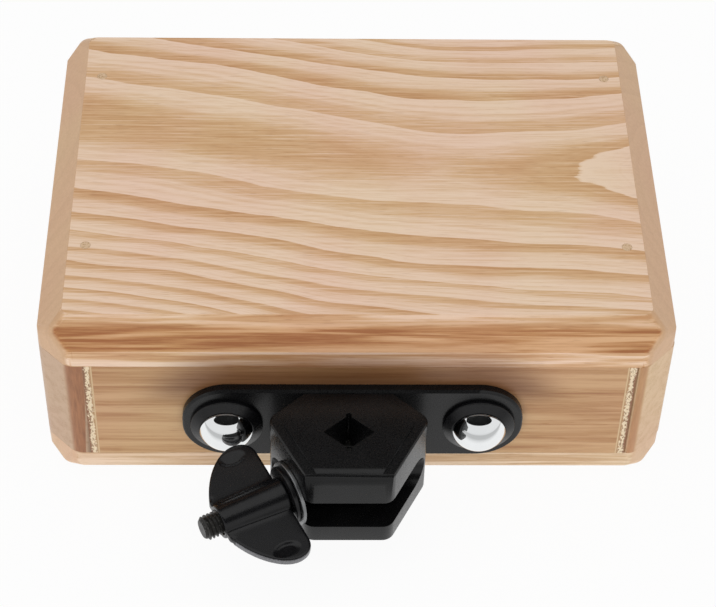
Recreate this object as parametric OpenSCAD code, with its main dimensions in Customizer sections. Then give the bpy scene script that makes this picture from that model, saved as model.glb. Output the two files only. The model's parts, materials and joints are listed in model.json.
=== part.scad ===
// Hollow ash woodblock with a rod clamp bolted to one long side.
// X runs along the block, Y from the clamp towards the sound slot, Z up.
// The origin is on the resting face, under the middle of the block.
// Sizes are in millimetres.

/* [Block] */
// Length of the block
block_l = 200; // [190:1:210]
// Depth of the block, from the clamp side to the slot side
block_d = 148; // [138:1:158]
// Height of the block
block_h = 72; // [68:1:80]
// Thickness of the top plate and of the bottom plate
plate_t = 15; // [12:0.5:18]
// Bevel along every level edge
edge_bevel = 8.5; // [5:0.5:10]
// Bevel down the four upright corners
corner_bevel = 9.5; // [6:0.5:11]

/* [Rails and end blocks] */
// Thickness of the rail that carries the clamp
mount_rail_t = 20; // [16:1:26]
// Thickness of the rail with the sound slot
slot_rail_t = 14; // [10:1:18]
// Height of the sound slot, right under the top plate
slot_h = 10; // [6:1:14]
// Length of the sound slot
slot_l = 140; // [110:1:142]
// Radius in the two lower corners of the sound slot
slot_corner_r = 4; // [2:0.5:5]
// Thickness of an end block along the length
end_block_t = 28; // [26:1:34]
// Width of the left end block's lip beside a rail's end
lip_left = 14.4; // [12.5:0.1:16]
// Width of the right end block's lip beside a rail's end
lip_right = 12.6; // [12.5:0.1:16]
// Width of the filled seam between a rail's end and the lip
seam_w = 3; // [2:0.5:4]

/* [Panel pins] */
// Distance from a short side to the pins, in the middle of the end block
pin_inset = 14; // [11:0.5:16]
// Distance from the clamp side to the nearer pins
pin_front = 38; // [32:1:44]
// Distance from the slot side to the nearer pins
pin_back = 29; // [24:1:36]
// Distance between the tips of two pins that face each other
pin_tip_gap = 6; // [4:1:16]
// Diameter of a pin's shank
pin_d = 1.8; // [1.4:0.1:2.2]
// Diameter of a pin's head and of the filled hole over it
pin_head_d = 3.2; // [2.8:0.1:4]
// Depth of filler over a pin's head
pin_sunk = 2; // [1.5:0.5:3]

/* [Bracket strap] */
// Length of the strap that lies on the rail
strap_l = 108; // [104:1:114]
// Height of the strap
strap_h = 31.4; // [30:0.2:34]
// Thickness of the strap
strap_t = 3; // [2.5:0.5:4]
// Radius of the strap's four corners
strap_corner_r = 14.5; // [12:0.5:14.5]
// Bevel around the strap's front face
strap_bevel = 0.8; // [0.4:0.1:1.2]
// Height of the strap's middle above the resting face
bracket_rise = 33.2; // [32:0.2:35]
// How far the bracket sits to one side of the block's middle
bracket_shift = -1.2; // [-3:0.2:3]
// Distance between the two bracket bolts
bolt_pitch = 80; // [76:1:82]

/* [Clamp jaws] */
// Height of the clamp body
clamp_h = 31; // [29.4:0.2:32]
// How far the clamp body sits to one side of the strap's middle
clamp_shift = -1.6; // [-2.4:0.2:2.4]
// How far the clamp's middle is below the strap's middle
clamp_drop = 0.8; // [0:0.1:1.2]
// Reach of the clamp body from the strap to its front face
clamp_reach = 34; // [32:0.5:36]
// Width of the clamp body at its widest
clamp_w = 50.8; // [48:0.1:52]
// How far each slanting side comes in from the widest place to the front face
clamp_taper = 12.4; // [11:0.1:13]
// Width of the clamp body where it meets the strap
clamp_back_w = 29; // [26:0.5:32]
// Distance from the strap to the widest place
clamp_side_reach = 10.3; // [10:0.1:12]
// Radius of the upright corners
clamp_corner_r = 4; // [2:0.5:4.5]
// Bevel around the upper and lower faces
clamp_bevel = 0.5; // [0.3:0.1:1.2]
// Radius along the clamp's upper front edge
clamp_front_r = 4; // [2:0.1:4.4]
// Distance from the clamp's slanting sides to the raised panel on its upper face
panel_inset = 3.5; // [3.3:0.1:4.2]
// Height of the raised panel
panel_rise = 0.6; // [0.4:0.1:1]
// Height of the gap between the jaws
jaw_gap = 11.8; // [10.8:0.1:12]
// How far the gap's middle is below the clamp's middle
jaw_gap_drop = 2.3; // [0.5:0.1:2.5]
// How far the gap's inner end lies behind the middle of the rod hole
gap_past_hole = 3; // [0:0.2:4]
// Rod hole from corner to corner along the block
hole_w = 15.8; // [15.6:0.1:16.4]
// Rod hole from corner to corner away from the block
hole_d = 13.4; // [13.2:0.1:14]
// Radius of the relief in the rod hole's near and far corners
hole_relief_r = 0.9; // [0.6:0.1:1.2]
// Radius of the round pocket for the eye between the jaws
eye_pocket_r = 13; // [12.5:0.1:13.5]

/* [Eye bolt and wing nut] */
// Diameter of the eye bolt's threaded stem
stem_d = 8; // [6:0.5:8]
// Length of the eye bolt from the middle of its eye to its tip
stem_l = 50.8; // [49:0.2:58]
// Bevel at the stem's tip
stem_bevel = 0.9; // [0.5:0.1:1.2]
// Outer diameter of the eye
eye_od = 20; // [18:0.5:21]
// Bore of the eye, for a rod
eye_bore_d = 10.5; // [10.2:0.1:10.8]
// Thickness of the eye
eye_t = 9.4; // [8.6:0.2:10]
// Bevel around the eye
eye_bevel = 0.8; // [0.4:0.1:1.2]
// Outer diameter of the thin steel washer
steel_washer_d = 21; // [18:0.5:22]
// Thickness of the thin steel washer
steel_washer_t = 1.2; // [0.8:0.1:1.6]
// Outer diameter of the black washer
black_washer_d = 18.8; // [14:0.2:19]
// Thickness of the black washer
black_washer_t = 1.4; // [1:0.1:2]
// Length of the wing nut's hub
hub_l = 22.3; // [20:0.1:25]
// Diameter of the hub where it meets the washer
hub_base_d = 12.6; // [12:0.1:14]
// Diameter of the hub at its outer end
hub_tip_d = 10.8; // [10.4:0.1:12]
// Radius of the wing nut across its wings
wing_r = 23.2; // [20:0.2:23.4]
// Thickness of a wing
wing_t = 2.8; // [2.2:0.1:3.4]
// Bevel around a wing
wing_bevel = 0.6; // [0.3:0.1:0.8]
// Distance from the hub's base to the wings
wing_foot = 0.4; // [0.2:0.1:1.2]
// Room between the turning wings and the tops of the bolts
wing_room = 0.5; // [0.3:0.1:1.5]
// Turn of the wings away from upright
wing_turn = 88; // [0:2:180]
// Radius of the thumb dish in each face of a wing
dish_r = 4.6; // [3.5:0.1:5]
// Depth of a thumb dish
dish_depth = 0.35; // [0.2:0.05:0.5]

/* [Bracket bolts] */
// Diameter of a bracket bolt's shank
bolt_d = 6; // [5:0.5:6]
// Diameter of a bolt's domed head
dome_d = 16.8; // [15.5:0.1:17.5]
// Height of a bolt's domed head
dome_h = 5.6; // [4.4:0.1:5.8]
// Height of the upright rim around a bolt's head
dome_rim_h = 0.8; // [0.4:0.1:1.4]
// Length of the square neck under a head
neck_l = 2.4; // [2:0.1:2.6]
// Outer diameter of the black ring washer under a head
ring_d = 23; // [21:0.5:24]
// Height of the black ring washer
ring_h = 2.8; // [2.2:0.1:3]
// Height of the ring washer's upright outer rim
ring_rim_h = 1.2; // [0.6:0.1:1.6]
// Outer diameter of the flat washer inside the block
inner_washer_d = 12.5; // [12:0.5:16]
// Thickness of the flat washer inside the block
inner_washer_t = 1.6; // [1:0.1:2]
// Width of the hexagon nut across its flats
nut_af = 10; // [9.5:0.1:11]
// Height of the hexagon nut
nut_h = 5; // [4:0.1:6]
// How far a bolt stands out of its nut
bolt_proud = 2; // [1:0.5:3]

/* [Hidden] */
$fn = 64;

// Clearances and the overrun of every cut
fit_gap = 0.05;
wash_gap = 0.2;
bolt_gap = 0.2;
run_gap = 0.25;
over = 1;

// Colours
ash = "burlywood";
ash_end = "tan";
filler = "wheat";
black = "#222222";
chrome = "silver";
steel = "slategray";

// Block
rail_h = block_h - 2 * plate_t;
front_y = -block_d / 2;
back_y = block_d / 2;
left_lip_x = block_l / 2 - lip_left;
right_lip_x = block_l / 2 - lip_right;
rail_left = seam_w - left_lip_x;
rail_right = right_lip_x - seam_w;
chamber_x = block_l / 2 - end_block_t;
pin_x = block_l / 2 - pin_inset;
pin_ys = [front_y + pin_front, back_y - pin_back];
pin_head_t = pin_d / 2;
pin_l = block_h / 2 - pin_sunk - pin_tip_gap / 2;

// Bracket
strap_y = front_y - strap_t;
clamp_mid = bracket_rise - clamp_drop;
clamp_low = clamp_mid - clamp_h / 2;
gap_z = clamp_mid - jaw_gap_drop;
clamp_x = bracket_shift + clamp_shift;
clamp_front_w = clamp_w - 2 * clamp_taper;
stem_turn = atan(clamp_taper / (clamp_reach - clamp_side_reach));

// The slanting face's distance from the strap's front plane at the clamp's middle, along the stem
plane_s = clamp_w / 2 * cos(stem_turn) + clamp_side_reach * sin(stem_turn);
washers_t = steel_washer_t + run_gap + black_washer_t;

// The rod hole lies as far out as the turning wings need to pass the tops of the bolts
wing_mid_share = 0.29;
tip_s = plane_s + washers_t + wing_mid_share * hub_l;
tip_y = ring_h + dome_h + wing_room + wing_r * cos(stem_turn);
hole_reach = (tip_y - tip_s * sin(stem_turn)) / pow(cos(stem_turn), 2);
hole_y = strap_y - hole_reach;
face_s = plane_s - hole_reach * sin(stem_turn);
hub_s = face_s + washers_t;
bolt_xs = [-bolt_pitch / 2, bolt_pitch / 2];

// A bolt's parts, as distances from the strap's front face towards the block
bolt_tip = strap_t + mount_rail_t + inner_washer_t + nut_h + bolt_proud;

// A rectangle in plan with its four corners cut off at 45 degrees
function cut_corners(w, d, c) = [
    [-w / 2 + c, -d / 2], [w / 2 - c, -d / 2], [w / 2, -d / 2 + c], [w / 2, d / 2 - c],
    [w / 2 - c, d / 2], [-w / 2 + c, d / 2], [-w / 2, d / 2 - c], [-w / 2, -d / 2 + c]
];

// A point on a cubic curve through its first and last control points
function curve_point(p, t) =
    pow(1 - t, 3) * p[0] + 3 * pow(1 - t, 2) * t * p[1] + 3 * (1 - t) * pow(t, 2) * p[2] + pow(t, 3) * p[3];
function curve(p, steps) = [for (i = [0:steps]) curve_point(p, i / steps)];

// The whole block as one bevelled solid, which each wooden piece takes its share of
module bevelled_block() {
    intersection() {
        linear_extrude(block_h)
            polygon(cut_corners(block_l, block_d, corner_bevel));
        translate([0, back_y + over, block_h / 2])
            rotate([90, 0, 0])
                linear_extrude(block_d + 2 * over)
                    polygon(cut_corners(block_l, block_h, edge_bevel));
        translate([-block_l / 2 - over, 0, block_h / 2])
            rotate([90, 0, 90])
                linear_extrude(block_l + 2 * over)
                    polygon(cut_corners(block_d, block_h, edge_bevel));
    }
}

// A plain box between two corners
module box(low, high) {
    translate(low)
        cube(high - low);
}

// The slice of the block between two heights
module block_slice(low_z, high_z) {
    intersection() {
        bevelled_block();
        box([-block_l, -block_d, low_z], [block_l, block_d, high_z]);
    }
}

// Holes for the panel pins, drilled down from the outer face of the top plate
module pin_holes(gap) {
    for (x = [-pin_x, pin_x], y = pin_ys) {
        translate([x, y, block_h - pin_sunk - pin_head_t])
            cylinder(d = pin_head_d + 2 * gap, h = pin_sunk + pin_head_t + over);
        translate([x, y, block_h - pin_sunk - pin_l])
            cylinder(d = pin_d + 2 * gap, h = pin_l);
    }
}

// The same holes on both faces
module all_pin_holes() {
    pin_holes(fit_gap);
    translate([0, 0, block_h])
        mirror([0, 0, 1])
            pin_holes(fit_gap);
}

module top_plate() {
    color(ash)
        difference() {
            block_slice(block_h - plate_t, block_h);
            all_pin_holes();
        }
}

module bottom_plate() {
    color(ash)
        difference() {
            block_slice(0, plate_t);
            all_pin_holes();
        }
}

// Shank holes of the bracket bolts
module bolt_holes(gap) {
    for (x = bolt_xs)
        translate([bracket_shift + x, front_y + mount_rail_t + over, bracket_rise])
            rotate([90, 0, 0])
                cylinder(d = bolt_d + 2 * gap, h = mount_rail_t + strap_t + 2 * over);
}

// The thick rail that the bracket is bolted through
module mount_rail() {
    color(ash)
        difference() {
            box([rail_left, front_y, plate_t], [rail_right, front_y + mount_rail_t, plate_t + rail_h]);
            bolt_holes(bolt_gap);
        }
}

// The slot's outline, notched down from the rail's upper edge
module slot_outline() {
    low_z = plate_t + rail_h - slot_h;
    half_l = slot_l / 2;
    translate([-half_l, low_z + slot_corner_r])
        square([slot_l, slot_h + over - slot_corner_r]);
    translate([-half_l + slot_corner_r, low_z])
        square([slot_l - 2 * slot_corner_r, slot_h]);
    for (x = [-half_l + slot_corner_r, half_l - slot_corner_r])
        translate([x, low_z + slot_corner_r])
            circle(r = slot_corner_r);
}

// The thinner rail, with the sound slot cut into its upper edge
module slot_rail() {
    color(ash)
        difference() {
            box([rail_left, back_y - slot_rail_t, plate_t], [rail_right, back_y, plate_t + rail_h]);
            translate([0, back_y + over, 0])
                rotate([90, 0, 0])
                    linear_extrude(slot_rail_t + 2 * over)
                        slot_outline();
        }
}

// An end block at the left, rebated for the ends of both rails
module end_block(lip_x) {
    difference() {
        intersection() {
            block_slice(plate_t, plate_t + rail_h);
            box([-block_l, -block_d, 0], [-chamber_x, block_d, block_h]);
        }
        box([-lip_x, front_y - over, 0], [0, front_y + mount_rail_t, block_h]);
        box([-lip_x, back_y - slot_rail_t, 0], [0, back_y + over, block_h]);
        all_pin_holes();
    }
}

module end_block_left() {
    color(ash_end)
        end_block(left_lip_x);
}

module end_block_right() {
    color(ash_end)
        mirror([1, 0, 0])
            end_block(right_lip_x);
}

// Filler between each rail end and the lip of its end block
module seam_fillers() {
    color(filler)
        for (low_x = [-left_lip_x, rail_right]) {
            high_x = low_x + seam_w;
            box([low_x, front_y, plate_t], [high_x, front_y + mount_rail_t, plate_t + rail_h]);
            box([low_x, back_y - slot_rail_t, plate_t], [high_x, back_y, plate_t + rail_h]);
        }
}

// Four panel pins, heads sunk below the face
module pins() {
    for (x = [-pin_x, pin_x], y = pin_ys) {
        translate([x, y, block_h - pin_sunk - pin_head_t])
            cylinder(d = pin_head_d, h = pin_head_t);
        translate([x, y, block_h - pin_sunk - pin_l + pin_d])
            cylinder(d = pin_d, h = pin_l - pin_d - pin_head_t);
        translate([x, y, block_h - pin_sunk - pin_l])
            cylinder(d1 = pin_d / 2, d2 = pin_d, h = pin_d);
    }
}

// A plug of filler over each pin's head
module pin_fillers() {
    for (x = [-pin_x, pin_x], y = pin_ys)
        translate([x, y, block_h - pin_sunk])
            cylinder(d = pin_head_d, h = pin_sunk);
}

module top_pins() {
    color(steel)
        pins();
}

module bottom_pins() {
    color(steel)
        translate([0, 0, block_h])
            mirror([0, 0, 1])
                pins();
}

module top_pin_fillers() {
    color(filler)
        pin_fillers();
}

module bottom_pin_fillers() {
    color(filler)
        translate([0, 0, block_h])
            mirror([0, 0, 1])
                pin_fillers();
}

// Moves a shape drawn at the strap's front face, with Y as reach and Z as height
module at_bracket() {
    translate([bracket_shift, strap_y, 0])
        children();
}

// The strap's outline, a bar with large round corners
module strap_outline(inset) {
    l = strap_l - 2 * inset;
    h = strap_h - 2 * inset;
    r = strap_corner_r - inset;
    square([l - 2 * r, h], center = true);
    square([l, h - 2 * r], center = true);
    for (x = [-l / 2 + r, l / 2 - r], y = [-h / 2 + r, h / 2 - r])
        translate([x, y])
            circle(r = r);
}

// The strap as one solid with a bevelled front edge
module strap() {
    translate([0, strap_t, bracket_rise])
        rotate([90, 0, 0])
            hull() {
                linear_extrude(strap_t - strap_bevel)
                    strap_outline(0);
                linear_extrude(strap_t)
                    strap_outline(strap_bevel);
            }
}

// Plan of the clamp body: narrow at the strap, widest near the rod, blunt in front
clamp_plan = [
    [-clamp_back_w / 2, strap_t / 2], [-clamp_back_w / 2, 0], [-clamp_w / 2, -clamp_side_reach],
    [-clamp_front_w / 2, -clamp_reach], [clamp_front_w / 2, -clamp_reach],
    [clamp_w / 2, -clamp_side_reach], [clamp_back_w / 2, 0], [clamp_back_w / 2, strap_t / 2]
];

// The plan drawn in from its edge, with its outer corners rounded
module clamp_outline(inset) {
    offset(r = clamp_corner_r, $fn = 32)
        offset(delta = -clamp_corner_r - inset)
            polygon(clamp_plan);
}

// The raised panel's plan: it keeps off the sides and runs out to the front
module panel_outline() {
    half_front = clamp_front_w / 2 - panel_inset / cos(stem_turn);
    hull() {
        clamp_outline(panel_inset);
        translate([-half_front, -clamp_reach])
            square([2 * half_front, panel_inset]);
    }
}

// The clamp body with bevelled rims and the raised panel on its upper face
module clamp_body() {
    translate([0, 0, clamp_low])
        hull() {
            translate([0, 0, clamp_bevel])
                linear_extrude(clamp_h - 2 * clamp_bevel)
                    clamp_outline(0);
            linear_extrude(clamp_h)
                clamp_outline(clamp_bevel);
        }
    translate([0, 0, clamp_low + clamp_h - panel_rise])
        linear_extrude(2 * panel_rise)
            panel_outline();
}

// The gap between the jaws: open in front, round at its inner end, with a pocket for the eye
module jaw_cut() {
    half_gap = jaw_gap / 2;
    round_y = gap_past_hole - hole_reach - half_gap;
    translate([0, -hole_reach, gap_z - half_gap])
        cylinder(r = eye_pocket_r, h = jaw_gap);
    translate([0, round_y, gap_z])
        rotate([0, 90, 0])
            cylinder(r = half_gap, h = clamp_w + 2 * over, center = true);
    box(
        [-clamp_w / 2 - over, -clamp_reach - over, gap_z - half_gap],
        [clamp_w / 2 + over, round_y, gap_z + half_gap]
    );
}

// The four-cornered rod hole through both jaws, relieved in two corners
module rod_hole() {
    half_w = hole_w / 2;
    half_d = hole_d / 2;
    translate([0, -hole_reach, clamp_low - over])
        linear_extrude(clamp_h + 2 * over + panel_rise) {
            polygon([[-half_w, 0], [0, -half_d], [half_w, 0], [0, half_d]]);
            for (y = [-half_d, half_d])
                translate([0, y])
                    circle(r = hole_relief_r);
        }
}

// Square holes in the strap for the necks of the bolts
module neck_holes() {
    side = bolt_d + 2 * bolt_gap;
    for (x = bolt_xs)
        translate([x - side / 2, -over, bracket_rise - side / 2])
            cube([side, strap_t + 2 * over, side]);
}

// Rounds the upper front edge, from the panel's top down to the front face
module front_edge_cut() {
    r = clamp_front_r;
    top = clamp_low + clamp_h + panel_rise;
    difference() {
        box([-clamp_w / 2, -clamp_reach - over, top - r], [clamp_w / 2, r - clamp_reach, top + over]);
        translate([0, r - clamp_reach, top - r])
            rotate([0, 90, 0])
                cylinder(r = r, h = clamp_w + 2 * over, center = true);
    }
}

// The bracket: strap and clamp body moulded in one piece
module clamp_bracket() {
    color(black)
        at_bracket()
            difference() {
                union() {
                    strap();
                    translate([clamp_shift, 0, 0])
                        clamp_body();
                }
                translate([clamp_shift, 0, 0]) {
                    front_edge_cut();
                    jaw_cut();
                    rod_hole();
                }
                neck_holes();
            }
}

// Places a turned shape on each bolt's axis, its Z pointing out of the block
module at_bolts() {
    at_bracket()
        for (x = bolt_xs)
            translate([x, 0, bracket_rise])
                rotate([90, 0, 0])
                    children();
}

// Profile of the ring washer, from its hole to its sloping outer rim
module ring_washers() {
    hole_r = bolt_d / 2 * sqrt(2) + wash_gap;
    seat_r = dome_d / 2 + wash_gap;
    color(black)
        at_bolts()
            rotate_extrude()
                polygon([
                    [hole_r, 0], [ring_d / 2, 0], [ring_d / 2, ring_rim_h], [seat_r, ring_h],
                    [hole_r, ring_h]
                ]);
}

// Bolts with a domed head on an upright rim, a square neck, a round shank and a bevelled tip
module bracket_bolts() {
    cap_h = dome_h - dome_rim_h;
    ball_r = (pow(dome_d / 2, 2) + pow(cap_h, 2)) / (2 * cap_h);
    neck = bolt_d;
    tip_bevel = bolt_d / 8;
    color(chrome)
        at_bolts() {
            intersection() {
                translate([0, 0, ring_h + dome_h - ball_r])
                    sphere(r = ball_r);
                translate([0, 0, ring_h])
                    cylinder(d = dome_d, h = dome_h + over);
            }
            translate([-neck / 2, -neck / 2, ring_h - neck_l - ring_h])
                cube([neck, neck, neck_l + ring_h]);
            translate([0, 0, tip_bevel - bolt_tip])
                cylinder(d = bolt_d, h = bolt_tip - tip_bevel);
            translate([0, 0, -bolt_tip])
                cylinder(d1 = bolt_d - 2 * tip_bevel, d2 = bolt_d, h = tip_bevel);
        }
}

// Flat washers against the inner face of the mount rail
module inner_washers() {
    color(chrome)
        at_bolts()
            translate([0, 0, -strap_t - mount_rail_t - inner_washer_t])
                difference() {
                    cylinder(d = inner_washer_d, h = inner_washer_t);
                    translate([0, 0, -over])
                        cylinder(d = bolt_d + 2 * bolt_gap, h = inner_washer_t + 2 * over);
                }
}

// Hexagon nuts on the inner ends of the bolts
module inner_nuts() {
    color(chrome)
        at_bolts()
            translate([0, 0, -strap_t - mount_rail_t - inner_washer_t - nut_h])
                difference() {
                    cylinder(d = nut_af / cos(30), h = nut_h, $fn = 6);
                    translate([0, 0, -over])
                        cylinder(d = bolt_d + 2 * fit_gap, h = nut_h + 2 * over);
                }
}

// Places a shape on the stem's axis, its Z pointing out of the clamp, from the rod hole's middle
module on_stem() {
    translate([clamp_x, hole_y, gap_z])
        rotate([0, 0, 180 + stem_turn])
            rotate([0, 90, 0])
                children();
}

// The eye bolt: a bevelled ring with a threaded stem
module eyebolt() {
    color(steel)
        difference() {
            union() {
                translate([clamp_x, hole_y, gap_z])
                    rotate_extrude()
                        polygon([
                            [0, -eye_t / 2], [eye_od / 2 - eye_bevel, -eye_t / 2],
                            [eye_od / 2, -eye_t / 2 + eye_bevel], [eye_od / 2, eye_t / 2 - eye_bevel],
                            [eye_od / 2 - eye_bevel, eye_t / 2], [0, eye_t / 2]
                        ]);
                on_stem() {
                    cylinder(d = stem_d, h = stem_l - stem_bevel);
                    translate([0, 0, stem_l - stem_bevel])
                        cylinder(d1 = stem_d, d2 = stem_d - 2 * stem_bevel, h = stem_bevel);
                }
            }
            translate([clamp_x, hole_y, gap_z - eye_t])
                cylinder(d = eye_bore_d, h = 2 * eye_t);
        }
}

// The thin washer that lies on the clamp's slanting face
module steel_washer() {
    color(chrome)
        on_stem()
            translate([0, 0, face_s])
                difference() {
                    cylinder(d = steel_washer_d, h = steel_washer_t);
                    translate([0, 0, -over])
                        cylinder(d = stem_d + 2 * wash_gap, h = steel_washer_t + 2 * over);
                }
}

// The black washer under the wing nut, with its rims bevelled
module black_washer() {
    bevel = black_washer_t / 4;
    hole_r = stem_d / 2 + wash_gap;
    rim_r = black_washer_d / 2;
    color(black)
        on_stem()
            translate([0, 0, hub_s - black_washer_t])
                rotate_extrude()
                    polygon([
                        [hole_r, 0], [rim_r - bevel, 0], [rim_r, bevel], [rim_r, black_washer_t - bevel],
                        [rim_r - bevel, black_washer_t], [hole_r, black_washer_t]
                    ]);
}

// Control points of a wing's edge, as shares of the hub's length and the wing's radius
tip_curve_shares = [[0.02, 0.78], [0.03, 0.92], [0.13, 1], [wing_mid_share, 1]];
flank_curve_shares = [[wing_mid_share, 1], [0.52, 1], [0.84, 0.72], [0.99, 0.3]];
wing_steps = 9;
dish_place_shares = [0.35, 0.71];

// A wing from the hub's axis to its tip, X out along the wing and Y along the hub
function wing_point(share) = [share[1] * wing_r, max(share[0] * hub_l, wing_foot)];
wing_outline = concat(
    [[0, wing_foot]],
    [for (p = curve(tip_curve_shares, wing_steps)) wing_point(p)],
    [for (p = curve(flank_curve_shares, wing_steps)) wing_point(p)],
    [[0, flank_curve_shares[3][0] * hub_l]]
);

// One wing with its edge bevelled
module wing() {
    rotate([90, 0, 0])
        hull() {
            linear_extrude(wing_t - 2 * wing_bevel, center = true)
                polygon(wing_outline);
            linear_extrude(wing_t, center = true)
                offset(delta = -wing_bevel)
                    polygon(wing_outline);
        }
}

// Balls that hollow a thumb dish into both faces of a wing
module dishes() {
    ball_r = (pow(dish_r, 2) + pow(dish_depth, 2)) / (2 * dish_depth);
    x = dish_place_shares[1] * wing_r;
    z = dish_place_shares[0] * hub_l;
    for (side = [-1, 1])
        translate([x, side * (wing_t / 2 - dish_depth + ball_r), z])
            sphere(r = ball_r);
}

// The wing nut: a tapering hub, a narrow foot and two wings
module wing_nut() {
    color(black)
        on_stem()
            translate([0, 0, hub_s])
                rotate([0, 0, wing_turn])
                    difference() {
                        union() {
                            cylinder(d1 = hub_base_d, d2 = hub_tip_d, h = hub_l);
                            for (turn = [0, 180])
                                rotate([0, 0, turn])
                                    wing();
                        }
                        for (turn = [0, 180])
                            rotate([0, 0, turn])
                                dishes();
                        translate([0, 0, -over])
                            cylinder(d = stem_d + 2 * fit_gap, h = hub_l + 2 * over);
                    }
}

top_plate();
bottom_plate();
mount_rail();
slot_rail();
end_block_left();
end_block_right();
seam_fillers();
top_pins();
bottom_pins();
top_pin_fillers();
bottom_pin_fillers();
clamp_bracket();
ring_washers();
bracket_bolts();
inner_washers();
inner_nuts();
eyebolt();
wing_nut();
steel_washer();
black_washer();
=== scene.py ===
# %% [markdown]
# # A woodblock with a rod clamp
# The object is a hollow ash block, about 200 mm long, that a drummer strikes with a stick. A black
# moulded bracket is bolted to one long side, and a wing nut draws an eye bolt tight on a stand rod.
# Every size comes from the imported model, which is loaded first and never moved. The looks are
# added round it: softened edges, threads, and a finish for each real material.

# %% Load the fixed frame
import json
import math

import bmesh
import bpy
from mathutils import Matrix, Vector
from mathutils.geometry import interpolate_bezier


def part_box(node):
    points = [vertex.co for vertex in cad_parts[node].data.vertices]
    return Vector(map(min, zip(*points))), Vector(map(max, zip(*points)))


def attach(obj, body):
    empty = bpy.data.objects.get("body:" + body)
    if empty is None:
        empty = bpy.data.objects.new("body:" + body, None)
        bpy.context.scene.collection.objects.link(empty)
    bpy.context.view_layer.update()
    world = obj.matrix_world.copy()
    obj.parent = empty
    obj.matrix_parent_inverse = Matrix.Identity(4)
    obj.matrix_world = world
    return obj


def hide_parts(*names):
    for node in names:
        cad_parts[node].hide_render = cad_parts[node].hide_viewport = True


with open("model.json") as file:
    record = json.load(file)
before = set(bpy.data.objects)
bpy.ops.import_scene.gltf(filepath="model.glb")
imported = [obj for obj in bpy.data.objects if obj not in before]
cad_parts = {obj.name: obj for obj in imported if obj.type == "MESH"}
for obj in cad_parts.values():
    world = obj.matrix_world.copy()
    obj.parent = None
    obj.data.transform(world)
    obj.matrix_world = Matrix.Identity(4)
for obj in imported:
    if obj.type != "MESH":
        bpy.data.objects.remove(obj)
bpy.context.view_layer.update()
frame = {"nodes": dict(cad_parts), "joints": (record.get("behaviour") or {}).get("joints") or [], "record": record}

# %% [markdown]
# ## Helpers
# A mesh is easier to read in millimetres, the unit of the drawing, so pieces are drawn in
# millimetres and scaled once when they become objects. Colours are written as sRGB hex values, as a
# maker would note them, and one function turns them to the linear values that the shader wants.

# %% Units and colours
MM = 0.001


def colour(code):
    """An sRGB hex colour such as "#dcc1a9" as linear red, green, blue and alpha."""
    channels = [int(code[i:i + 2], 16) / 255 for i in (1, 3, 5)]
    linear = [c / 12.92 if c <= 0.04045 else ((c + 0.055) / 1.055) ** 2.4 for c in channels]
    return (*linear, 1.0)


WHITE = (1, 1, 1, 1)
print("mid grey is", round(colour("#808080")[0], 3), "in linear light")

# %% [markdown]
# ## Materials from nodes
# Each finish is a small tree of nodes. One function adds a node, sets its properties, feeds its
# inputs, and fills a ramp or a curve where the node has one. It returns the node's first output
# unless another one is asked for, so that a tree reads from top to bottom as a row of steps, each
# one fed by the last.

# %% Add and feed a node
MATH = "ShaderNodeMath"
NOISE = "ShaderNodeTexNoise"
MAPPING = "ShaderNodeMapping"
SEPARATE = "ShaderNodeSeparateXYZ"
MIX = "ShaderNodeMix"
RAMP = "ShaderNodeValToRGB"
RANGE = "ShaderNodeMapRange"
CURVE = "ShaderNodeFloatCurve"
SMOOTH = {"interpolation_type": "SMOOTHSTEP"}

# The sockets of a colour mix share their names with other kinds of mix, so they go by number
FIRST_COLOUR, SECOND_COLOUR = 6, 7
BLEND = {"result": 2, "data_type": "RGBA"}
MULTIPLY = {**BLEND, "blend_type": "MULTIPLY"}


def feed(made, inputs):
    """Gives each input, by name or number, its value or a link from another node's output."""
    for key, value in inputs.items():
        if isinstance(value, bpy.types.NodeSocket):
            made.id_data.links.new(value, made.inputs[key])
        else:
            made.inputs[key].default_value = value


def node(tree, kind, inputs, result=0, stops=(), points=(), **settings):
    """Adds a node and returns one output, or the whole node where the result is None."""
    made = tree.nodes.new(kind)
    for key, value in settings.items():
        setattr(made, key, value)
    feed(made, inputs)
    if stops:
        elements = made.color_ramp.elements
        while len(elements) < len(stops):
            elements.new(0.5)
        for element, (place, tint) in zip(elements, stops):
            element.position = place
            element.color = tint if isinstance(tint, tuple) else (tint, tint, tint, 1)
    if points:
        curve = made.mapping.curves[0]
        while len(curve.points) < len(points):
            curve.points.new(0.5, 0.5)
        for point, place in zip(curve.points, points):
            point.location = place
        made.mapping.update()
    return made if result is None else made.outputs[result]


def bare_material(name):
    """A material without nodes, and its tree."""
    material = bpy.data.materials.new(name)
    material.use_nodes = True
    material.node_tree.nodes.clear()
    return material, material.node_tree


def new_material(name):
    """A material with only its shader and the object's own coordinates in millimetres."""
    material, tree = bare_material(name)
    shader = node(tree, "ShaderNodeBsdfPrincipled", {}, result=None)
    node(tree, "ShaderNodeOutputMaterial", {"Surface": shader.outputs["BSDF"]}, result=None)
    place = node(tree, "ShaderNodeTexCoord", {}, result="Object")
    grid = node(tree, MAPPING, {"Vector": place, "Scale": (1 / MM,) * 3})
    return material, tree, shader, grid


print("patterns are drawn on a grid of", MM, "m")

# %% [markdown]
# ## Ash
# Ash is pale and straight, with broad tan bands where the spring wood is open and porous. The bands
# could be painted on each face, but they would not meet at the edges. A board is a slice through
# nested growth rings, so the figure is worked out as the tree grew it: one formula gives the ring
# that each point lies in, and the face of the board cuts it. The same material then gives long
# flames on a top, wide streaks on a bevel and plain dots on an end.

# %% The growth rings
# The heart lies 46 mm under the face, and a ring is a step of the squared distance from it
BOARD_HALF, RING_DEPTH = 100.0, 46.0
FIRST_RING, RING_AREA = 421.0, 829.0

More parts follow.
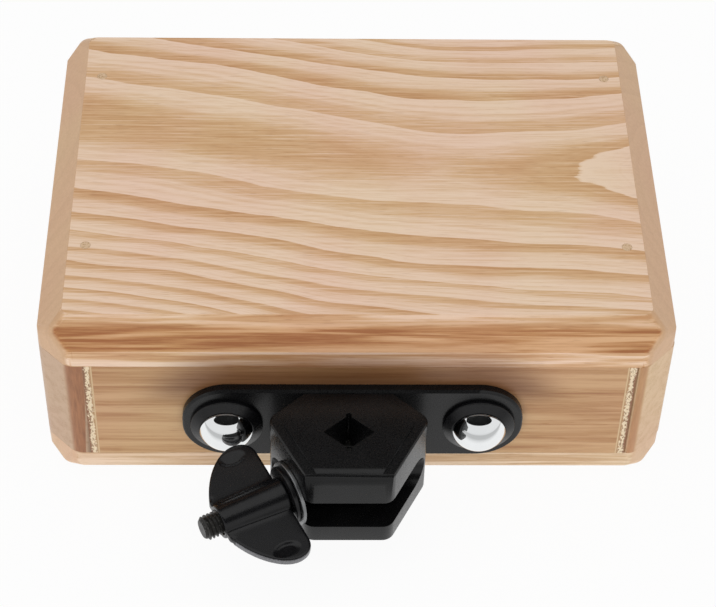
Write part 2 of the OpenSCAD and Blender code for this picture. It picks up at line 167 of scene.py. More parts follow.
# The two curves reach over these spans, and noise sways the heart and ripples the rings
CURVE_SPAN, AREA_SPAN = 60.0, 800.0
SWAY, RIPPLE = 9.0, 80.0


def figure(tree, grid, move, turn, heart, swell):
    """The ring number of each point, and the wood's own coordinates: X runs along the grain.

    Heart bends the rings' middle line sideways, and swell lifts the rings along the board."""
    wood = node(tree, MAPPING, {"Vector": grid, "Location": move, "Rotation": turn})
    slow = node(tree, MAPPING, {"Vector": wood, "Scale": (0.011, 0.045, 0.045)})
    drift = node(tree, NOISE, {"Vector": slow, "Scale": 1.0, "Detail": 2.0})
    wave = node(tree, MAPPING, {"Vector": wood, "Scale": (0.05, 0.16, 0.16)})
    ripple = node(tree, NOISE, {"Vector": wave, "Scale": 1.0, "Detail": 2.0})
    axes = node(tree, SEPARATE, {"Vector": wood}, result=None).outputs
    along = node(tree, RANGE, {0: axes[0], 1: -BOARD_HALF, 2: BOARD_HALF})
    centre = node(tree, CURVE, {"Value": along}, points=heart)
    side = node(tree, MATH, {0: centre, 1: -CURVE_SPAN, 2: axes[1]}, operation="MULTIPLY_ADD")
    side = node(tree, MATH, {0: side, 1: CURVE_SPAN / 2}, operation="ADD")
    side = node(tree, MATH, {0: drift, 1: SWAY, 2: side}, operation="MULTIPLY_ADD")
    side = node(tree, MATH, {0: side, 1: SWAY / 2}, operation="SUBTRACT")
    square = node(tree, MATH, {0: side, 1: side}, operation="MULTIPLY")
    deep = node(tree, MATH, {0: axes[2], 1: RING_DEPTH}, operation="ADD")
    square = node(tree, MATH, {0: deep, 1: deep, 2: square}, operation="MULTIPLY_ADD")
    lift = node(tree, CURVE, {"Value": along}, points=swell)
    square = node(tree, MATH, {0: lift, 1: AREA_SPAN, 2: square}, operation="MULTIPLY_ADD")
    base = RING_DEPTH ** 2 + AREA_SPAN / 2
    square = node(tree, MATH, {0: square, 1: base}, operation="SUBTRACT")
    square = node(tree, MATH, {0: ripple, 1: RIPPLE, 2: square}, operation="MULTIPLY_ADD")
    square = node(tree, MATH, {0: square, 1: RIPPLE / 2}, operation="SUBTRACT")
    inner = node(tree, MATH, {0: square, 1: FIRST_RING}, operation="MINIMUM")
    extra = 1 / FIRST_RING - 1 / RING_AREA
    ring = node(tree, MATH, {0: square, 1: 1 / RING_AREA}, operation="MULTIPLY")
    ring = node(tree, MATH, {0: inner, 1: extra, 2: ring}, operation="MULTIPLY_ADD")
    return ring, wood


print("rings are about", round(RING_AREA / (2 * RING_DEPTH), 1), "mm thick under the face")

# %% [markdown]
# Each ring starts dark with spring wood and pales towards its end. The long fibres of the wood give
# the bands their feathered edges.

# %% Fibres and bands
FIBRE = (0.032, 1.25, 1.25)
PROFILE = ((0.0, 0.70), (0.14, 0.64), (0.28, 0.52), (0.42, 0.24), (0.60, 0.10), (0.9, 0.03),
           (0.975, 0.0), (1.0, 0.5))


def bands(tree, wood, ring):
    """The fibres, the feathered ring number, and how dark each point lies in its ring."""
    # Fibres are about 0.8 mm wide and 30 mm long
    stretch = node(tree, MAPPING, {"Vector": wood, "Scale": FIBRE})
    fibre = node(tree, NOISE, {"Vector": stretch, "Scale": 1.0, "Detail": 4.0, "Roughness": 0.68})
    ragged = node(tree, MATH, {0: fibre, 1: 0.03, 2: ring}, operation="MULTIPLY_ADD")
    phase = node(tree, MATH, {0: ragged}, operation="FRACT")
    band = node(tree, RAMP, {"Fac": phase}, stops=PROFILE)

    # No two years are alike, so each ring has its own strength
    year = node(tree, MATH, {0: ragged}, operation="FLOOR")
    strength = node(tree, "ShaderNodeTexWhiteNoise", {"W": year}, noise_dimensions="1D")
    strength = node(tree, RANGE, {0: strength, 3: 0.62, 4: 1.1})
    band = node(tree, MATH, {0: band, 1: strength}, operation="MULTIPLY")
    return fibre, ragged, band


print("fibres are", round(1 / FIBRE[0]), "mm long")

# %% [markdown]
# How a face is cut shows in its figure: a top cuts the rings flat, a side cuts along them, and an
# end cuts straight across the fibres. The direction of the surface tells which one it is, so one
# material can serve a whole board.

# %% Which way a face is cut
def cut_of_face(tree, wood, fibre, turn, cut, fade):
    """How far a face is an end, a side and a bevel; the wood's frame is turned with it."""
    facing = node(tree, "ShaderNodeNewGeometry", {}, result="Normal")
    facing = node(tree, MAPPING, {"Vector": facing, "Rotation": turn}, vector_type="VECTOR")
    parts = node(tree, SEPARATE, {"Vector": facing}, result=None).outputs
    across, side, level = (node(tree, MATH, {0: part}, operation="ABSOLUTE") for part in parts)
    across = node(tree, RANGE, {0: across, 1: cut[0], 2: cut[1]}, **SMOOTH)
    side = node(tree, RANGE, {0: side, 1: 0.12, 2: 0.66}, **SMOOTH)
    level = node(tree, RANGE, {0: level, 1: 0.1, 2: 0.6}, **SMOOTH)
    slant = node(tree, MATH, {0: side, 1: level}, operation="MULTIPLY")
    if fade:
        height = node(tree, SEPARATE, {"Vector": wood}, result=2)
        height = node(tree, MATH, {0: fibre, 1: 3.0, 2: height}, operation="MULTIPLY_ADD")
        height = node(tree, RANGE, {0: height, 1: fade[0], 2: fade[1]}, **SMOOTH)
        slant = node(tree, MATH, {0: slant, 1: height}, operation="MULTIPLY")
    return across, side, slant


# %% [markdown]
# A face along the grain shows the rings as flames on a top and as thin lenses on a side. Over both
# run the fibres, which are what makes ash look coarse.

# %% Faces along the grain
def long_grain(tree, wood, fibre, ragged, band, side, contrast, plain):
    """How dark each point of a face along the grain is, and how much its pores show."""
    # A side is cut along the rings, which lie there as long thin lenses
    lens = node(tree, MAPPING, {"Vector": wood, "Rotation": (0, 0, 0.03), "Scale": (0.013, 0.34, 0.34)})
    lens = node(tree, NOISE, {"Vector": lens, "Scale": 1.0, "Detail": 3.0, "Roughness": 0.5,
                              "Distortion": 0.5})
    lens = node(tree, RANGE, {0: lens, 1: 0.36, 2: 0.68}, **SMOOTH)
    weave = lens if plain else node(tree, MIX, {0: side, 2: band, 3: lens})

    # Faint lines run beside the bands, and the fibres show most inside them
    lines = node(tree, NOISE, {"W": ragged, "Scale": 9.0, "Detail": 3.0}, noise_dimensions="1D")
    lines = node(tree, RANGE, {0: lines, 1: 0.3, 2: 0.7, 3: -0.10, 4: 0.12})
    lines = node(tree, MIX, {0: side, 2: lines, 3: 0.0})
    shown = node(tree, RANGE, {0: fibre, 1: 0.28, 2: 0.72, 3: -0.55, 4: 0.55})
    weight = node(tree, RANGE, {0: weave, 3: 0.40, 4: 1.05})
    shown = node(tree, MATH, {0: shown, 1: weight}, operation="MULTIPLY")
    tone = node(tree, MATH, {0: weave, 1: lines}, operation="ADD")
    tone = node(tree, MATH, {0: tone, 1: shown}, operation="ADD")
    tone = node(tree, MATH, {0: tone, 1: contrast}, operation="MULTIPLY", use_clamp=True)
    return tone, weight


# %% [markdown]
# An end is cut across the fibres, so it soaks up more lacquer and is darker and dotted.

# %% Ends
def end_grain(tree, wood, band, ends, upright, plain):
    """Across the fibres the cut ends of the pores make an even, fine speckle."""
    specks = node(tree, MAPPING, {"Vector": wood, "Scale": (1.0, 1.0, upright)})
    specks = node(tree, NOISE, {"Vector": specks, "Scale": 1.1, "Detail": 3.0, "Roughness": 0.7})
    specks = node(tree, RANGE, {0: specks, 1: 0.3, 2: 0.7, 3: -0.05, 4: 0.45})
    share = 0.0 if plain else 0.28
    dots = node(tree, MATH, {0: band, 1: share, 2: specks}, operation="MULTIPLY_ADD", use_clamp=True)
    pale, dark = (colour(tint) for tint in ends)
    return node(tree, MIX, {0: dots, FIRST_COLOUR: pale, SECOND_COLOUR: dark}, **BLEND)


# %% [markdown]
# The wood is painted darker and redder above the clamp's strap, a painted shade where the strap's
# shadow falls. The strap is a bar with round ends, so the painted shade follows its distance from
# such a bar, on the clamp's side only.

# %% The painted shade above the strap
# The painted shade lies only on the clamp's side: it fades in from 30 to 50 mm in front of the middle
SHADE_FRONT = (-30.0, -50.0)


def paint_strap_shade(tree, grid, surface, painted_shade):
    """The surface with a painted shade, redder and darker, that fades away from the strap."""
    middle, straight, radius, reach, strength = painted_shade
    near = node(tree, MAPPING, {"Vector": grid, "Location": (-middle[0], 0, -middle[1])})
    axes = node(tree, SEPARATE, {"Vector": near}, result=None).outputs
    beyond = node(tree, MATH, {0: axes[0]}, operation="ABSOLUTE")
    beyond = node(tree, MATH, {0: beyond, 1: straight}, operation="SUBTRACT")
    beyond = node(tree, MATH, {0: beyond, 1: 0.0}, operation="MAXIMUM")
    spot = node(tree, "ShaderNodeCombineXYZ", {0: beyond, 1: axes[2]})
    away = node(tree, "ShaderNodeVectorMath", {0: spot}, result="Value", operation="LENGTH")
    away = node(tree, RANGE, {0: away, 1: radius + reach, 2: radius - 1, 3: 0.0, 4: strength},
                interpolation_type="SMOOTHERSTEP")
    above = node(tree, RANGE, {0: axes[2], 1: 0.2 * radius, 2: radius}, **SMOOTH)
    away = node(tree, MATH, {0: away, 1: above}, operation="MULTIPLY")
    front = node(tree, RANGE, {0: axes[1], 1: SHADE_FRONT[0], 2: SHADE_FRONT[1]})
    away = node(tree, MATH, {0: away, 1: front}, operation="MULTIPLY")
    # The painted shade: a darker, redder brown where the strap's shadow falls on the wood
    shade_tint = node(tree, MIX, {0: away, FIRST_COLOUR: WHITE, SECOND_COLOUR: colour("#86603f")}, **BLEND)
    return node(tree, MIX, {0: 1.0, FIRST_COLOUR: surface, SECOND_COLOUR: shade_tint}, **MULTIPLY)


print("the stain stops", -SHADE_FRONT[0], "mm in front of the middle")

# %% [markdown]
# The lacquer lies thin on the wood. It gives a soft gloss, and the open pores break it up.

# %% Lacquered ash
PORE = (0.16, 2.6, 2.6)
STRAIGHT = ((0, 0.5), (1, 0.5))


def ash(name, ground, deep, ends, contrast=1.0, move=(0, 0, 0), turn=(0, 0, 0), heart=STRAIGHT,
        swell=STRAIGHT, cut=(0.25, 0.5), upright=1.0, plain=False, fade=None, painted_shade=None):
    """Lacquered ash. Ground and deep are the pale, tan and dark of a face and of a bevel.

    Ends are two tones of end grain, cut says how square to the fibres an end is, and upright
    stretches its speckle. Plain wood has no rings, only streaks. Fade gives the heights over which
    a bevel takes its own colour. Painted shade is the shade painted over the strip above the strap:
    its middle, half its straight length, its end radius, the shade's reach and its strength."""
    material, tree, shader, grid = new_material(name)
    ring, wood = figure(tree, grid, move, turn, heart, swell)
    fibre, ragged, band = bands(tree, wood, ring)
    across, side, slant = cut_of_face(tree, wood, fibre, turn, cut, fade)
    tone, weight = long_grain(tree, wood, fibre, ragged, band, side, contrast, plain)
    tints = (tuple(zip((0.0, 0.5, 1.0), map(colour, three))) for three in (ground, deep))
    flat, sloped = (node(tree, RAMP, {"Fac": tone}, stops=stops) for stops in tints)
    surface = node(tree, MIX, {0: slant, FIRST_COLOUR: flat, SECOND_COLOUR: sloped}, **BLEND)

    # Pores are short dark dashes, drawn 0.4 mm wide so that they still show
    dashes = node(tree, MAPPING, {"Vector": wood, "Scale": PORE})
    pores = node(tree, NOISE, {"Vector": dashes, "Scale": 1.0, "Detail": 1.0})
    pores = node(tree, RANGE, {0: pores, 1: 0.60, 2: 0.72}, **SMOOTH)
    pores = node(tree, MATH, {0: pores, 1: weight}, operation="MULTIPLY")
    depth = node(tree, MATH, {0: pores, 1: 0.38}, operation="MULTIPLY")
    pore = colour("#9a6a42")
    surface = node(tree, MIX, {0: depth, FIRST_COLOUR: surface, SECOND_COLOUR: pore}, **BLEND)
    speckle = end_grain(tree, wood, band, ends, upright, plain)
    surface = node(tree, MIX, {0: across, FIRST_COLOUR: surface, SECOND_COLOUR: speckle}, **BLEND)

    # Broad patches are a little pinker or yellower than the rest
    patches = node(tree, NOISE, {"Vector": wood, "Scale": 0.022, "Detail": 1.0})
    casts = ((0.35, colour("#fff3ee")), (0.65, colour("#fffaf0")))
    warmth = node(tree, RAMP, {"Fac": patches}, stops=casts)
    surface = node(tree, MIX, {0: 1.0, FIRST_COLOUR: surface, SECOND_COLOUR: warmth}, **MULTIPLY)
    # Painted shade above the strap, where its shadow falls
    if painted_shade:
        surface = paint_strap_shade(tree, grid, surface, painted_shade)

    # The lacquer follows the open pores, and is a little duller in them
    height = node(tree, MATH, {0: pores, 1: -1.0, 2: fibre}, operation="MULTIPLY_ADD")
    bump = node(tree, "ShaderNodeBump", {"Height": height, "Strength": 0.25, "Distance": 0.03 * MM})
    dull = node(tree, RANGE, {0: pores, 3: 0.42, 4: 0.6})
    feed(shader, {"Base Color": surface, "Roughness": dull, "Normal": bump, "IOR": 1.45})
    print("made", name)
    return material


# %% [markdown]
# ## Five cuts of ash
# The plates are slab-sawn, with an arched figure over the middle. Two curves bend the heart line of
# the figure and lift the rings towards one end, where they close in a pointed eye. The rails show
# only streaks, and the end blocks stand with their grain across the block, so that their end grain
# shows beside the clamp.

# %% Ash for the plates
def curve_points(table, reach, span):
    """Places in millimetres as points of a curve whose sides run from nought to one."""
    return tuple((0.5 + x / (2 * reach), 0.5 + y / span) for x, y in table)


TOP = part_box("top_plate")[1].z / MM
STRAP_Z = (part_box("ring_washers")[0].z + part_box("ring_washers")[1].z) / 2 / MM
heart_line = ((-100, 26), (-60, 18.5), (-30, 11.5), (0, 5), (35, 0), (65, -1), (100, -1))
ring_lift = ((-100, -10), (-60, 40), (-30, 30), (0, 60), (30, 125), (55, 60), (71, 0), (100, -270))
strap = [Vector(c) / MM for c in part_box("clamp_bracket")]
# The strap's end radius in mm, and how far the painted shade above it reaches
STRAP_R, SHADE_REACH = 15.7, 22.0
strap_middle = ((strap[0].x + strap[1].x) / 2, STRAP_Z)
# Where the painted shade above the strap falls: its middle, half its straight length, end radius and reach
strap_shade_zone = (strap_middle, (strap[1].x - strap[0].x) / 2 - STRAP_R, STRAP_R, SHADE_REACH)
# The top plate carries the painted shade above the strap at full strength
ash_plate = ash(
    "lacquered_ash_slab_sawn", ground=("#ecd6c2", "#d8b690", "#c4986c"),
    deep=("#dab38a", "#c09162", "#a36b40"), ends=("#cfae8b", "#bb9776"), move=(0, 0, -TOP),
    fade=(1.0, -2.2), painted_shade=(*strap_shade_zone, 1.0), heart=curve_points(heart_line, BOARD_HALF, CURVE_SPAN),
    swell=curve_points(ring_lift, BOARD_HALF, AREA_SPAN))
ash_lower = ash(
    "lacquered_ash_lower_plate", ground=("#e8d6be", "#d6be9e", "#c2a27c"),
    deep=("#ebdcc5", "#dbc6a8", "#c5aa87"), ends=("#d8bb9c", "#c4a180"), move=(14, 12, 0),
    turn=(math.pi, 0, 0))

# %% Ash for the rails and the end blocks
RAIL = ("#c7a57d", "#b58e63", "#9a6a45")
DARK_BLOCK = ("#c0a48c", "#b6987e", "#a68368")
PALE_BLOCK = ("#d2b795", "#c8aa84", "#b6946d")
QUARTER = (0, 0, math.radians(90))
# The rail carries the painted shade above the strap at 0.8 of its strength
ash_rail = ash(
    "lacquered_ash_rail", ground=RAIL, deep=RAIL, ends=("#b98b68", "#a0765a"), contrast=0.6,
    move=(30, 40, -8), turn=(math.radians(78), 0, 0), plain=True, painted_shade=(*strap_shade_zone, 0.8))
ash_left = ash(
    "lacquered_ash_end_block_dark", ground=DARK_BLOCK, deep=DARK_BLOCK, ends=("#a67350", "#5a3622"),
    contrast=0.4, move=(-20, 74, -30), turn=QUARTER, cut=(0.8, 0.95), upright=0.12, plain=True)
ash_right = ash(
    "lacquered_ash_end_block_pale", ground=PALE_BLOCK, deep=PALE_BLOCK, ends=("#ba8f66", "#996d49"),
    contrast=0.4, move=(31, 52, -12), turn=QUARTER, cut=(0.8, 0.95), upright=0.12, plain=True)

# %% [markdown]
# ## Wood filler
# The seams beside the rails are packed with a coarse wood filler, which dries cream with brown
# crumbs and dull all over. It was pressed in by hand, so its edges are torn, and a thin pale line
# of it stands along the rail. The pins' holes are closed with a finer, darker sort.

# %% Filler in the seams and over the pins
seams = [c.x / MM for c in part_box("seam_fillers")]
SEAM_W = 3.0
SEAM_MIDDLE, SEAM_REACH = (seams[0] + seams[1]) / 2, (seams[1] - seams[0] - SEAM_W) / 2
RAIL_LINE = 1.25


def seam_edges(tree, grid, surface):
    """Lets the filler end in torn edges, with the wood's colours beyond them."""
    # Distance from the seam's middle, positive towards the end block
    x = node(tree, SEPARATE, {"Vector": grid})
    away = node(tree, MATH, {0: x, 1: SEAM_MIDDLE}, operation="SUBTRACT")
    away = node(tree, MATH, {0: away}, operation="ABSOLUTE")
    away = node(tree, MATH, {0: away, 1: SEAM_REACH}, operation="SUBTRACT")
    torn = node(tree, NOISE, {"Vector": grid, "Scale": 0.9, "Detail": 3.0, "Roughness": 0.7})
    torn = node(tree, RANGE, {0: torn, 1: 0.25, 2: 0.75, 3: -0.7, 4: 0.7})
    edge = node(tree, MATH, {0: away, 1: torn}, operation="ADD")
    block = node(tree, RANGE, {0: edge, 1: 0.75, 2: 1.05}, **SMOOTH)
    rail = node(tree, RANGE, {0: edge, 1: -0.35, 2: -0.75}, **SMOOTH)
    line = node(tree, MATH, {0: away, 1: -RAIL_LINE}, operation="SUBTRACT")
    line = node(tree, MATH, {0: line}, operation="ABSOLUTE")
    line = node(tree, RANGE, {0: line, 1: 0.32, 2: 0.12, 3: 0.0, 4: 0.8})
    for cover, tint in ((block, "#8f664a"), (rail, "#b28c64"), (line, "#d8bd96")):
        surface = node(tree, MIX, {0: cover, FIRST_COLOUR: surface, SECOND_COLOUR: colour(tint)}, **BLEND)
    return surface


def wood_filler(name, pale, deep, speck_mm, share, seam=False):
    """Dried filler: a pale ground whose share of brown crumbs makes it look coarse."""
    material, tree, shader, grid = new_material(name)
    crumb = (1 / speck_mm, 1 / speck_mm, 0.6 / speck_mm)
    crumbs = node(tree, MAPPING, {"Vector": grid, "Scale": crumb})
    grit = node(tree, NOISE, {"Vector": crumbs, "Scale": 1.0, "Detail": 3.0, "Roughness": 0.65})
    mask = node(tree, RANGE, {0: grit, 1: share, 2: share + 0.12}, **SMOOTH)
    surface = node(tree, MIX, {0: mask, FIRST_COLOUR: colour(pale), SECOND_COLOUR: colour(deep)}, **BLEND)
    if seam:
        surface = seam_edges(tree, grid, surface)
    bump = node(tree, "ShaderNodeBump", {"Height": grit, "Strength": 0.7, "Distance": 0.3 * MM})
    feed(shader, {"Base Color": surface, "Roughness": 0.7, "Normal": bump})
    print("made", name)
    return material


seam_filler = wood_filler("coarse_wood_filler", "#e6d2b2", "#8f6747", speck_mm=0.55, share=0.5, seam=True)
plug_filler = wood_filler("fine_wood_filler", "#d6b896", "#b8946e", speck_mm=0.7, share=0.5)

# %% [markdown]
# ## Black finishes
# Nothing on the clamp is a plain black. The bracket is glass-filled nylon, whose moulded skin is
# very slightly rough, and its ring washers are a smoother sort. The nut has a satin black coat over
# cast zinc, with a painted sheen that makes its rims paler, and the eye bolt is blackened steel,
# worn bright in specks. One function serves all four: a fine grain breaks up the gloss.

# %% Nylon, coated zinc and blackened steel
def black_finish(name, base, low_rough, high_rough, grain_mm, relief, worn=None, rim=None):
    """A satin black skin with a fine grain, paler where it is worn, with a painted sheen on its rims."""
    material, tree, shader, grid = new_material(name)
    fine = node(tree, NOISE, {"Vector": grid, "Scale": 1 / grain_mm, "Detail": 3.0})
    broad = node(tree, NOISE, {"Vector": grid, "Scale": 0.12, "Detail": 2.0})
    shade = node(tree, RANGE, {0: broad, 1: 0.3, 2: 0.7, 3: 0.75, 4: 1.3})
    surface = node(tree, MIX, {0: 1.0, FIRST_COLOUR: colour(base), SECOND_COLOUR: shade}, **MULTIPLY)
    if worn:
        wear_and_rim_sheen = node(tree, RANGE, {0: fine, 1: 0.62, 2: 0.8})
        surface = node(tree, MIX, {0: wear_and_rim_sheen, FIRST_COLOUR: surface, SECOND_COLOUR: colour(worn)}, **BLEND)
    if rim:
        # The rims, which the mesh marks, are painted paler in spots: a painted sheen where they catch the light
        edge = node(tree, "ShaderNodeAttribute", {}, result="Fac", attribute_name="wear_and_rim_sheen")
        edge = node(tree, MATH, {0: edge, 1: fine}, operation="MULTIPLY")
        edge = node(tree, RANGE, {0: edge, 1: 0.1, 2: 0.5})
        surface = node(tree, MIX, {0: edge, FIRST_COLOUR: surface, SECOND_COLOUR: colour(rim)}, **BLEND)
    rough = node(tree, RANGE, {0: fine, 1: 0.3, 2: 0.7, 3: low_rough, 4: high_rough})
    bump = node(tree, "ShaderNodeBump", {"Height": fine, "Strength": 0.5, "Distance": relief * MM})
    feed(shader, {"Base Color": surface, "Roughness": rough, "Normal": bump, "IOR": 1.39})
    print("made", name)
    return material


nylon = black_finish("glass_filled_black_nylon", "#0c0c0d", 0.22, 0.36, grain_mm=0.45, relief=0.03)
ring_nylon = black_finish("smooth_black_nylon", "#0c0c0e", 0.24, 0.36, grain_mm=0.9, relief=0.01)
# The nut's rims get a painted sheen in this paler grey
coated_zinc = black_finish(
    "satin_black_coated_zinc", "#0d0d0f", 0.22, 0.3, grain_mm=0.5, relief=0.008, rim="#707073")
black_steel = black_finish(
    "blackened_thread_steel", "#1d1c1a", 0.3, 0.5, grain_mm=0.5, relief=0.02, worn="#8b8982")

# %% [markdown]
# ## Bright metals
# The bolts' heads are chromed, which is near a mirror, so they show the whole room. Zinc plating is
# duller, with a faint cloudy bloom. Only the roughness and a slight shade set them apart, because
# a metal's look comes from what it reflects.

# %% Chrome, zinc and drawn steel
def bright_metal(name, tint, low_rough, high_rough, streak_mm):
    """Plated or drawn steel, whose gloss drifts between two values in soft clouds."""
    material, tree, shader, grid = new_material(name)
    bloom = node(tree, NOISE, {"Vector": grid, "Scale": 1 / streak_mm, "Detail": 3.0})
    rough = node(tree, RANGE, {0: bloom, 1: 0.3, 2: 0.7, 3: low_rough, 4: high_rough})
    shade = node(tree, RANGE, {0: bloom, 1: 0.2, 2: 0.8, 3: 0.94, 4: 1.0})
    surface = node(tree, MIX, {0: 1.0, FIRST_COLOUR: colour(tint), SECOND_COLOUR: shade}, **MULTIPLY)
    feed(shader, {"Base Color": surface, "Roughness": rough, "Metallic": 1.0})
    print("made", name)
    return material


chrome = bright_metal("chromed_steel", "#eef0f1", 0.03, 0.06, streak_mm=6.0)
zinc = bright_metal("zinc_plated_steel", "#c8cacb", 0.28, 0.42, streak_mm=2.5)
dull_zinc = bright_metal("dull_plated_steel", "#8d8e8f", 0.32, 0.5, streak_mm=1.5)
pin_steel = bright_metal("bright_drawn_steel", "#b9b9b7", 0.25, 0.4, streak_mm=1.0)

# %% [markdown]
# ## From a drawn mesh to a piece
# Every new piece goes through one function: it merges doubles, turns the faces outwards, scales the
# drawing to metres, smooths the shading up to a set angle, says which body carries the piece, and
# hides the plain solid it stands for.

# %% Make a piece
def piece(name, drawn, material, body, replaced, smooth=35.0, weighted=True):
    """Makes an object of a drawing in millimetres; smooth is the sharpest angle shaded as round."""
    bmesh.ops.remove_doubles(drawn, verts=drawn.verts, dist=0.0005)
    bmesh.ops.recalc_face_normals(drawn, faces=drawn.faces)
    bmesh.ops.scale(drawn, vec=(MM,) * 3, verts=drawn.verts)
    for face in drawn.faces:
        face.smooth = True
    mesh = bpy.data.meshes.new(name)
    drawn.to_mesh(mesh)
    drawn.free()
    mesh.set_sharp_from_angle(angle=math.radians(smooth))
    made = bpy.data.objects.new(name, mesh)
    bpy.context.scene.collection.objects.link(made)
    mesh.materials.append(material)
    if weighted:
        made.modifiers.new("even_shading", "WEIGHTED_NORMAL").keep_sharp = True
    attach(made, body)
    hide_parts(replaced)
    print(name, len(mesh.polygons), "faces")
    return made


# %% Edges, copies and outlines
def ease(drawn, edges, width, steps):
    """Rounds the given edges, as a sanding pad or a mould does."""
    bmesh.ops.bevel(drawn, geom=list(edges), offset=width, offset_type="OFFSET", segments=steps,
                    profile=0.5, affect="EDGES", material=-1, clamp_overlap=True)


def sharp_edges(drawn, angle):
    return [e for e in drawn.edges if len(e.link_faces) == 2 and e.calc_face_angle() > math.radians(angle)]


def solid_copy(name):
    """A plain solid as one merged skin in millimetres, its flat faces whole again."""
    drawn = bmesh.new()
    drawn.from_mesh(frame["nodes"][name].data)
    bmesh.ops.scale(drawn, vec=(1 / MM,) * 3, verts=drawn.verts)
    bmesh.ops.remove_doubles(drawn, verts=drawn.verts, dist=0.01)
    bmesh.ops.dissolve_limit(drawn, angle_limit=math.radians(1), verts=drawn.verts, edges=drawn.edges)
    return drawn


def rounded(corners, steps=4):
    """A closed outline from corners (x, y, radius), each one turned into an arc."""
    outline = []
    for before, corner, after in zip(corners[-1:] + corners[:-1], corners, corners[1:] + corners[:1]):
        here = Vector(corner[:2])
        back = (Vector(before[:2]) - here).normalized()
        onward = (Vector(after[:2]) - here).normalized()
        half = back.angle(onward) / 2
        if corner[2] == 0:
            outline.append(here)
            continue
        middle = here + (back + onward).normalized() * corner[2] / math.sin(half)
        arm = here + back * corner[2] / math.tan(half) - middle
        sweep = math.copysign(math.pi - 2 * half, -back.cross(onward))
        outline += [middle + Matrix.Rotation(sweep * i / steps, 2) @ arm for i in range(steps + 1)]
    return outline


print("a rounded square has", len(rounded([(0, 0, 1), (4, 0, 1), (4, 4, 1), (0, 4, 1)])), "points")


# %% Turned parts
def spun(drawn, profile, stand, steps=96):
    """Turns a closed outline of (radius, height) round Z and stands the ring on its place."""
    before = set(drawn.verts)
    verts = [drawn.verts.new((r, 0, z)) for r, z in profile]
    edges = [drawn.edges.new(pair) for pair in zip(verts, verts[1:] + verts[:1])]
    bmesh.ops.spin(drawn, geom=verts + edges, cent=(0, 0, 0), axis=(0, 0, 1), angle=math.tau, steps=steps,
                   use_merge=True)
    bmesh.ops.transform(drawn, matrix=stand, verts=[v for v in drawn.verts if v not in before])


def standing(origin, axis, side):
    """The place of a part drawn round Z: its origin, its axis and the way its X points."""
    ahead = axis.normalized()
    right = (side - ahead * side.dot(ahead)).normalized()
    return Matrix.Translation(origin) @ Matrix((right, ahead.cross(right), ahead)).transposed().to_4x4()


def extent(name, stand):
    """Smallest and largest radius, and lowest and highest place, of a solid about an axis."""
    undo = stand.inverted()
    points = [undo @ (v.co / MM) for v in frame["nodes"][name].data.vertices]
    radii, heights = [p.xy.length for p in points], [p.z for p in points]
    return min(radii), max(radii), min(heights), max(heights)


# %% [markdown]
# ## The wooden pieces
# The block's bevels are cut by machine and then sanded, so every outer edge is slightly round, and
# the joints between the boards show as hair lines. The wooden solids already have the right shape: a
# merged copy of each one gets its corners rounded by 2.4 mm, its long edges by almost 2 mm and its
# joint edges by a tenth.

# %% Which edges the sanding rounds
CORNER, SANDED, HAIR = 2.4, 1.8, 0.12
LONG_EDGE, AT_JOINT, UPRIGHT = 4.0, 0.2, 0.1

# How far in from the block's sides an edge still counts as outside, or as part of a corner
SIDE_X, SIDE_Y, CORNER_ZONE = 10, 9, 14
block_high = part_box("top_plate")[1] / MM
joint_heights = (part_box("bottom_plate")[1].z / MM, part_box("top_plate")[0].z / MM)


def on_outside(edge):
    middle = (edge.verts[0].co + edge.verts[1].co) / 2
    return abs(middle.x) > block_high.x - SIDE_X or abs(middle.y) > block_high.y - SIDE_Y


def is_joint(edge):
    """Edges that lie in a joint between two boards, or inside the block."""
    ends = [v.co for v in edge.verts]
    return any(all(abs(p.z - h) < AT_JOINT for p in ends) for h in joint_heights) or not on_outside(edge)


def is_corner(edge):
    """Edges at the block's four corners: the ends of the 9.5 mm corner bevel."""
    middle = (edge.verts[0].co + edge.verts[1].co) / 2
    near = abs(middle.x) > block_high.x - CORNER_ZONE and abs(middle.y) > block_high.y - CORNER_ZONE
    return near and not is_joint(edge)


def is_outer(edge):
    upright = (edge.verts[0].co.xy - edge.verts[1].co.xy).length < UPRIGHT
    return not is_joint(edge) and (is_corner(edge) or not upright)


print("joints lie at heights", [round(h, 1) for h in joint_heights], "mm")


# %% Sand the boards
def board(name, material):
    """A copy of a wooden solid, its corners rounded first, then its long edges and its joints."""
    drawn = solid_copy(name)
    for rounds, width, steps in ((is_corner, CORNER, 5), (is_outer, SANDED, 5), (is_joint, HAIR, 1)):
        long_edges = [e for e in sharp_edges(drawn, 20) if e.calc_length() > LONG_EDGE]
        ease(drawn, [e for e in long_edges if rounds(e)], width, steps)
    return piece(name + "_sanded", drawn, material, "block", name)


board("top_plate", ash_plate)
board("bottom_plate", ash_lower)
board("mount_rail", ash_rail)
board("slot_rail", ash_rail)
board("end_block_left", ash_left)
board("end_block_right", ash_right)

# %% [markdown]
# The seams, the plugs, and the pins, washers and nuts inside the block already have their whole
# shape as plain solids. They stay, and only their material is set.

# %% Finish the solids that stay
for name, material in (("seam_fillers", seam_filler), ("top_pin_fillers", plug_filler),
                       ("bottom_pin_fillers", plug_filler), ("top_pins", pin_steel),
                       ("bottom_pins", pin_steel), ("inner_washers", zinc), ("inner_nuts", zinc)):
    node_mesh = frame["nodes"][name].data
    node_mesh.materials.clear()
    node_mesh.materials.append(material)
    print(name, "is", material.name)

# %% [markdown]
# ## The bracket
# A mould leaves no truly sharp edge. The bracket's outer edges are rounded by half a millimetre, and
# the edges of its low bevels by half of that; the side that lies on the wood stays flat. A bevel
# operator on a copy of the solid is enough for this, because the solid has every face already.

# %% Round the moulding's edges
BLUNT, SOFT = 0.45, 0.2
STEEP_EDGE, LOW_EDGE = 62, 32
strap_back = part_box("clamp_bracket")[1].y / MM


